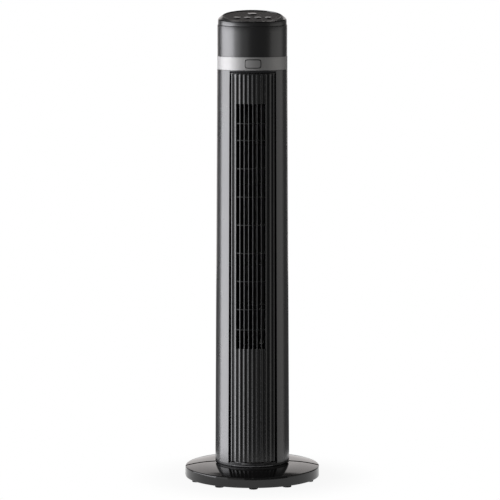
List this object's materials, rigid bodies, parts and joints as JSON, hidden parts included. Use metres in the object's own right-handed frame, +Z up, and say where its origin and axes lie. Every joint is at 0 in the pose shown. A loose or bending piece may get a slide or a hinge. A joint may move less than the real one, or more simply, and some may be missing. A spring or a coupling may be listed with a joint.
{
  "type": "tower fan",
  "caption": "Oscillating tower fan: fluted dark column with a tall slatted outlet, silver trim band, sloped control panel and a round two-part base.",
  "frame": {"origin": "Centre of the base's footprint, on the surface that the fan stands on.", "axes": "+Z up along the column, -Y towards the front with the outlet, +X to the right of someone who faces the fan."},
  "size_m": [0.2928, 0.2928, 1.016],
  "materials": {
    "base_plastic": "glossy dark grey moulded plastic",
    "rubber": "black rubber",
    "zinc": "zinc plated steel",
    "inner_plastic": "matte black moulded plastic",
    "nylon": "natural nylon",
    "case_plastic": "semi-gloss black moulded plastic",
    "grille_plastic": "semi-gloss black moulded plastic, fluted",
    "steel_sheet": "galvanised sheet steel",
    "lamination": "laminated electrical steel",
    "copper": "enamelled copper wire",
    "bronze": "sintered bronze",
    "capacitor_case": "moulded film capacitor case",
    "wire": "PVC sleeve",
    "silver_trim": "satin silver lacquer",
    "badge_trim": "satin silver lacquer, blank",
    "pcb": "green solder mask on fibreglass board",
    "components": "moulded electronic components",
    "panel_gloss": "brown-black polished plastic",
    "lens": "clear polycarbonate light guide",
    "button_plastic": "brown-black polished plastic"
  },
  "bodies": {
    "base": {"base_front": "base_plastic", "base_rear": "base_plastic", "rubber_feet": "rubber", "base_screws": "zinc", "cord_gland": "rubber", "swivel_spool": "inner_plastic", "slip_ring_lower": "nylon", "slip_ring_upper": "nylon", "swivel_retainer": "nylon", "retainer_screws": "zinc"},
    "impeller": {"impeller": "inner_plastic", "motor_shaft": "zinc", "rotor": "lamination", "top_shaft": "zinc"},
    "pinion": {"swing_pinion": "nylon", "swing_shaft": "zinc"},
    "column": {"front_housing": "case_plastic", "rear_housing": "case_plastic", "fluted_panel": "grille_plastic", "column_floor": "inner_plastic", "floor_screws": "zinc", "case_screws": "zinc", "swing_bracket": "steel_sheet", "swing_motor": "steel_sheet", "air_guide": "inner_plastic", "air_cutoff": "inner_plastic", "lower_plate": "inner_plastic", "upper_plate": "inner_plastic", "motor_can": "steel_sheet", "stator": "lamination", "windings": "copper", "motor_bushes": "bronze", "motor_bracket": "steel_sheet", "rubber_mounts": "rubber", "motor_screws": "zinc", "top_bush": "bronze", "top_rubber": "rubber", "run_capacitor": "capacitor_case", "wiring_loom": "wire", "head_mount": "inner_plastic", "head_screws": "zinc", "trim_band": "silver_trim", "badge": "badge_trim", "head_shell": "case_plastic", "collar": "case_plastic", "top_cap": "case_plastic", "power_board": "pcb", "board_parts": "components", "control_board": "pcb", "button_switches": "components", "control_panel": "panel_gloss", "indicator_lenses": "lens"},
    "button_power": {"button_power": "button_plastic"},
    "button_speed": {"button_speed": "button_plastic"},
    "button_mode": {"button_mode": "button_plastic"},
    "button_swing": {"button_swing": "button_plastic"},
    "button_timer": {"button_timer": "button_plastic"}
  },
  "joints": [
    {"name": "column_swing", "type": "hinge", "parent": "base", "child": "column", "pos_m": [0, 0, 0.04], "axis": [0, 0, 1], "range_deg": [-45, 45]},
    {"name": "impeller_spin", "type": "hinge", "parent": "column", "child": "impeller", "pos_m": [0.008, 0.012, 0.5], "axis": [0, 0, 1], "continuous": true},
    {"name": "pinion_spin", "type": "hinge", "parent": "column", "child": "pinion", "pos_m": [-0.03953, 0.0419, 0.055], "axis": [0, 0, 1], "range_deg": [-140, 140]},
    {"name": "power_press", "type": "slide", "parent": "column", "child": "button_power", "axis": [0, 0.1564, -0.9877], "range_m": [0, 0.0008], "stiffness_N_per_m": 600, "springref_m": -0.002},
    {"name": "speed_press", "type": "slide", "parent": "column", "child": "button_speed", "axis": [0, 0.1564, -0.9877], "range_m": [0, 0.0008], "stiffness_N_per_m": 600, "springref_m": -0.002},
    {"name": "mode_press", "type": "slide", "parent": "column", "child": "button_mode", "axis": [0, 0.1564, -0.9877], "range_m": [0, 0.0008], "stiffness_N_per_m": 600, "springref_m": -0.002},
    {"name": "swing_press", "type": "slide", "parent": "column", "child": "button_swing", "axis": [0, 0.1564, -0.9877], "range_m": [0, 0.0008], "stiffness_N_per_m": 600, "springref_m": -0.002},
    {"name": "timer_press", "type": "slide", "parent": "column", "child": "button_timer", "axis": [0, 0.1564, -0.9877], "range_m": [0, 0.0008], "stiffness_N_per_m": 600, "springref_m": -0.002}
  ],
  "couplings": [
    {"joint": "pinion_spin", "follows": "column_swing", "ratio": 3}
  ]
}
